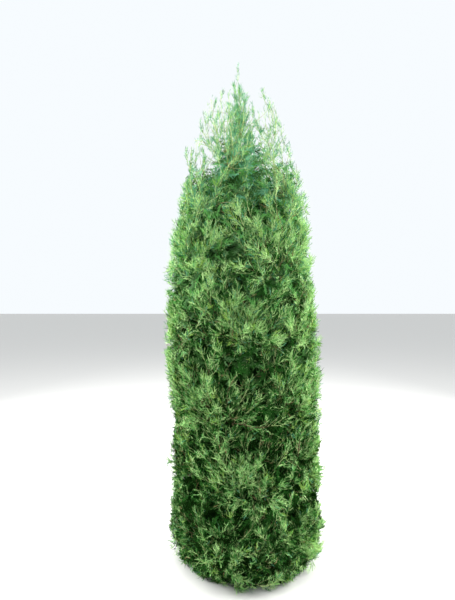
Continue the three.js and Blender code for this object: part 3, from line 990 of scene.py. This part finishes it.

# %% [markdown]
# ## Sprays behind the shoots
#
# Behind its plumes a cypress is packed with old growth that hardly lets the daylight through. A solid filler
# would show as a lump in every gap, so the gaps are closed with more sprays, longer, wider and darker than
# the outer ones: old growth, whose dark tints are in part painted shade of the inside. Each is meant for one
# place in its mass's space. It hangs on the shoot or stem that is nearest to this place, points to it, and
# reaches some of the way. It is kept short where it would stick out of the crown. Towards the thin top there
# are fewer and fewer, and those of the crest stay near the leader, so that the sky shows between its plumes.

# %% Inner sprays
INNER_SPRAYS = {"skirt": 1500, "crest": 420}
OTHER_INNER_SPRAYS = 1050
INNER_REACH = {"skirt": 0.97, "crest": 0.45}
OTHER_INNER_REACH = 0.9
INNER_LENGTHS = (0.14, 0.065)
INNER_FACE = 0.92
INNER_CUT = 4
INNER_STRAY = 0.4
INNER_FADE = (1.85, 2.5)
GAP_SHARE = 0.4
DARKNESS_LUCK = 2.2
# The inner tints from pale to dark; the darker ones stand for painted shade inside the crown.
INNER_TINTS = np.array([TINT_NAMES.index(t) for t in ("light", "dull", "dim", "deep", "shade")])
DARKNESS_STEPS = [-1.2, -0.6, 0.0, 0.6]


def inner_places(cell, seed):
    """Where the inner sprays of a mass are meant for, lower in the skirt, and how far out they are."""
    name = TIERS[cell[0]][0]
    x, y = even_points(len(seed))
    y = y**1.3 if name == "skirt" else y
    share = lerp(0.15, INNER_REACH.get(name, OTHER_INNER_REACH), chance(seed, 1) ** 0.6)
    place = cell_point(cell, 2 * x - 1, share, y)
    return lerp(axis_at(place[:, 2]), place, foot_spread(place[:, 2:])), share


def inner_sprays(cell):
    """
    The sprays that close a mass behind its shoots, and a tint for each, darker towards the ground as painted
    shade, varied by luck, and in part bluish in the thin top as painted sky glow. One that would pass the
    inner face is shorter, by four times as much as it would pass it, down to 0.3 of its length.
    """
    count = INNER_SPRAYS.get(TIERS[cell[0]][0], OTHER_INNER_SPRAYS)
    seed = mass_seed(cell) * 31 + np.arange(count) * 0.61
    place, share = inner_places(cell, seed)
    stem = middle_line(cell, np.linspace(0.1, 0.9, 30))
    root = nearest(place, np.concatenate([paths[cell].reshape(-1, 3), stem]))
    out = outwards(root)
    turn = 2 * math.pi * chance(seed, 2)
    around = np.cross(UP, out)
    astray = around * np.cos(turn)[:, None] + UP * np.sin(turn)[:, None]
    astray += (0.9 - share)[:, None] * out
    heading = unit(unit(place - root) + INNER_STRAY * astray)
    flat = unit(np.cross(heading, out) + 0.5 * offset(seed, 4)[:, None] * UP)
    gap = np.linalg.norm(place - root, axis=-1)
    length = lerp(*INNER_LENGTHS, share) * varied(seed, 5, 1.1) + GAP_SHARE * gap
    length = length * np.clip(crown_radius(root[:, 2]) / CROWN_RADIUS, 0.35, 1)
    proud = crown_share(root + heading * length[:, None]) - INNER_FACE
    length = length * np.clip(1 - INNER_CUT * proud, 0.3, 1)
    kept = chance(seed, 6) > fade(root[:, 2], *INNER_FADE)
    chosen = [values[kept] for values in (root, heading, flat, 0 * out, length, seed)]
    # Painted shade: darker below the middle height and paler above it, varied by luck.
    darkness = np.clip((MIDDLE_HEIGHT - root[kept, 2]) / 0.7, -2, 1)
    darkness += DARKNESS_LUCK * offset(seed[kept], 7)
    tint = INNER_TINTS[np.searchsorted(DARKNESS_STEPS, darkness)]
    bluish = (darkness < DARKNESS_STEPS[1]) & (chance(seed[kept], 8) < 0.7 * openness(root[kept]))
    tint = np.where(bluish, TINT_NAMES.index("blue"), tint)
    return spray_points(*chosen, INNER_TEETH, INNER_TOOTH_LENGTH), tint


inner = dealt_out([inner_sprays(cell) for cell in all_cells()])
print("inner sprays", {name: len(sprays) for name, sprays in inner.items()})

# %% [markdown]
# ## Pieces of foliage
#
# A hundred thousand objects would stop Blender, so all sprays of one kind and tint become one mesh. The
# triangles that look at the trunk are turned over first.


# %% Foliage meshes
def facing_out(points, faces):
    """Turns over the triangles whose normal points to the trunk."""
    a, b, c = (points[faces[:, i]] for i in range(3))
    middle = (a + b + c) / 3
    inward = np.sum(np.cross(b - a, c - a) * (middle - axis_at(middle[:, 2]) + (0, 0, 0.1)), axis=1) < 0
    return np.where(inward[:, None], faces[:, ::-1], faces)


def put_sprays(kind, tint, sprays, teeth):
    """One piece for the sprays of a kind and tint, where there are any."""
    if len(sprays) == 0:
        return
    points = sprays.reshape(-1, 3)
    starts = np.arange(len(sprays))[:, None, None] * sprays.shape[1]
    faces = facing_out(points, (starts + spray_faces(teeth)).reshape(-1, 3))
    put_mesh(f"{kind}_{tint}", points, faces, spray_materials[tint], "foliage", foliage_names)


foliage_names = [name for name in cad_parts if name.endswith("foliage") or "_foliage_" in name]
for tint in TINT_NAMES:
    put_sprays("side_sprays", tint, side[tint], SIDE_TEETH)
    put_sprays("inner_sprays", tint, inner[tint], INNER_TEETH)

# %% [markdown]
# ## Twigs
#
# The twigs carry the shoots. A twig is brown and woody. A shoot is brown at its foot, or yellow-green where
# it is young, in the thin top, and its end is yellow-green and shows as a pale line in the plume. Three
# sides are enough for a tube a few millimetres thick. Side shoots are thinner still, so a flat ribbon
# stands for each.

# %% Twig tubes
TWIG_SIDES = 3
TWIG_RADII = (0.0032, 0.0013)
FOOT_RADII = (0.0019, 0.0015)
END_RADII = (0.0021, 0.0013)
END_STEP = 4
RIBBON_WIDTH = 0.002


def put_twigs(name, some, radii, material, slot):
    """One piece of thin three-sided tubes along many paths, thinner in the thin top of the tree."""
    radii = lerp(*radii, np.linspace(0, 1, some.shape[1])) * slighter(some, 0.45)
    put_mesh(name, *tubes(some, radii, TWIG_SIDES), material, slot, foliage_names)


def make_ribbons(paths):
    """Flat ribbons that narrow along many paths, with their faces to the outside of the crown."""
    side = unit(np.cross(np.gradient(paths, axis=-2), outwards(paths)) + 1e-6)
    half = 0.5 * RIBBON_WIDTH * lerp(1, 0.4, np.linspace(0, 1, paths.shape[1]))[None, :, None]
    half = half * slighter(paths, 0.4)[..., None]
    points = np.stack([paths - half * side, paths + half * side], axis=2).reshape(-1, 3)
    steps = paths.shape[1]
    first = 2 * (np.arange(len(paths))[:, None] * steps + np.arange(steps - 1)).reshape(-1, 1)
    return points, facing_out(points, np.concatenate([first + (0, 1, 3), first + (0, 3, 2)]))


woody = {cell: some for cell, some in twigs.items() if TIERS[cell[0]][3]}
shoots = np.concatenate([some[: len(some) - len(woody.get(cell, ()))] for cell, some in paths.items()])
put_twigs("twigs", np.concatenate(list(woody.values())), TWIG_RADII, old_twig, "bark")
young = openness(shoots[:, 2]) > 0.3
shoot_feet = shoots[:, : END_STEP + 2]
put_twigs("shoot_feet", shoot_feet[~young], FOOT_RADII, old_twig, "bark")
put_twigs("young_shoot_feet", shoot_feet[young], FOOT_RADII, young_stem, "bark")
put_twigs("shoot_ends", shoots[:, END_STEP:], END_RADII, young_twig, "young_foliage")
outer = crown_share(fine[:, 1]) > 0.8 - openness(fine[:, 1])
put_mesh("outer_side_shoots", *make_ribbons(fine[outer]), young_twig, "young_foliage", foliage_names)
put_mesh("inner_side_shoots", *make_ribbons(fine[~outer]), old_twig, "bark", foliage_names)

# %% [markdown]
# ## Floor and light
#
# The tree stands in a plain studio. A pale, even world gives soft light from all round. One very large lamp
# hangs over the tree, because trees are lit from above, and a large one on each side picks out the plumes
# along the crown's edges. Small lamps would throw hard shadows and turn the gaps black. The floor is a plain
# pale plane.


# %% Stage
FLOOR_REACH = 30.0


def make_floor():
    """A plain pale plane at ground level."""
    mesh = bpy.data.meshes.new("floor")
    corners = [(x * FLOOR_REACH, y * FLOOR_REACH, 0) for x, y in ((-1, -1), (1, -1), (1, 1), (-1, 1))]
    mesh.from_pydata(corners, [], [(0, 1, 2, 3)])
    floor = bpy.data.objects.new("floor", mesh)
    material = bpy.data.materials.new("floor")
    material.use_nodes = True
    shader = material.node_tree.nodes["Principled BSDF"]
    fill(shader, {"Base Color": (0.62, 0.61, 0.59, 1), "Roughness": 0.9})
    mesh.materials.append(material)
    bpy.context.scene.collection.objects.link(floor)


def make_lamp(name, place, size, watts, aim):
    """A square soft lamp at a place that looks at a point."""
    data = bpy.data.lights.new(name, "AREA")
    data.size = size
    data.energy = watts
    lamp = bpy.data.objects.new(name, data)
    lamp.location = place
    direction = mathutils.Vector(aim) - lamp.location
    lamp.rotation_euler = direction.to_track_quat("-Z", "Y").to_euler()
    bpy.context.scene.collection.objects.link(lamp)


make_floor()
make_lamp("overhead", (-0.3, 0.4, 5.8), 4.0, 400, (0, 0, 1.0))
make_lamp("left_side", (-3.8, 1.0, 2.1), 2.6, 340, (0, 0, 1.1))
make_lamp("right_side", (3.8, 1.0, 2.1), 2.6, 440, (0, 0, 1.1))
world = bpy.data.worlds.new("studio")
world.use_nodes = True
fill(world.node_tree.nodes["Background"], {"Color": (0.93, 0.97, 1.0, 1), "Strength": 1.0})
bpy.context.scene.world = world
bpy.context.scene.view_settings.view_transform = "Standard"
print(len(bpy.data.lights), "lamps and a floor of", 2 * FLOOR_REACH, "m")
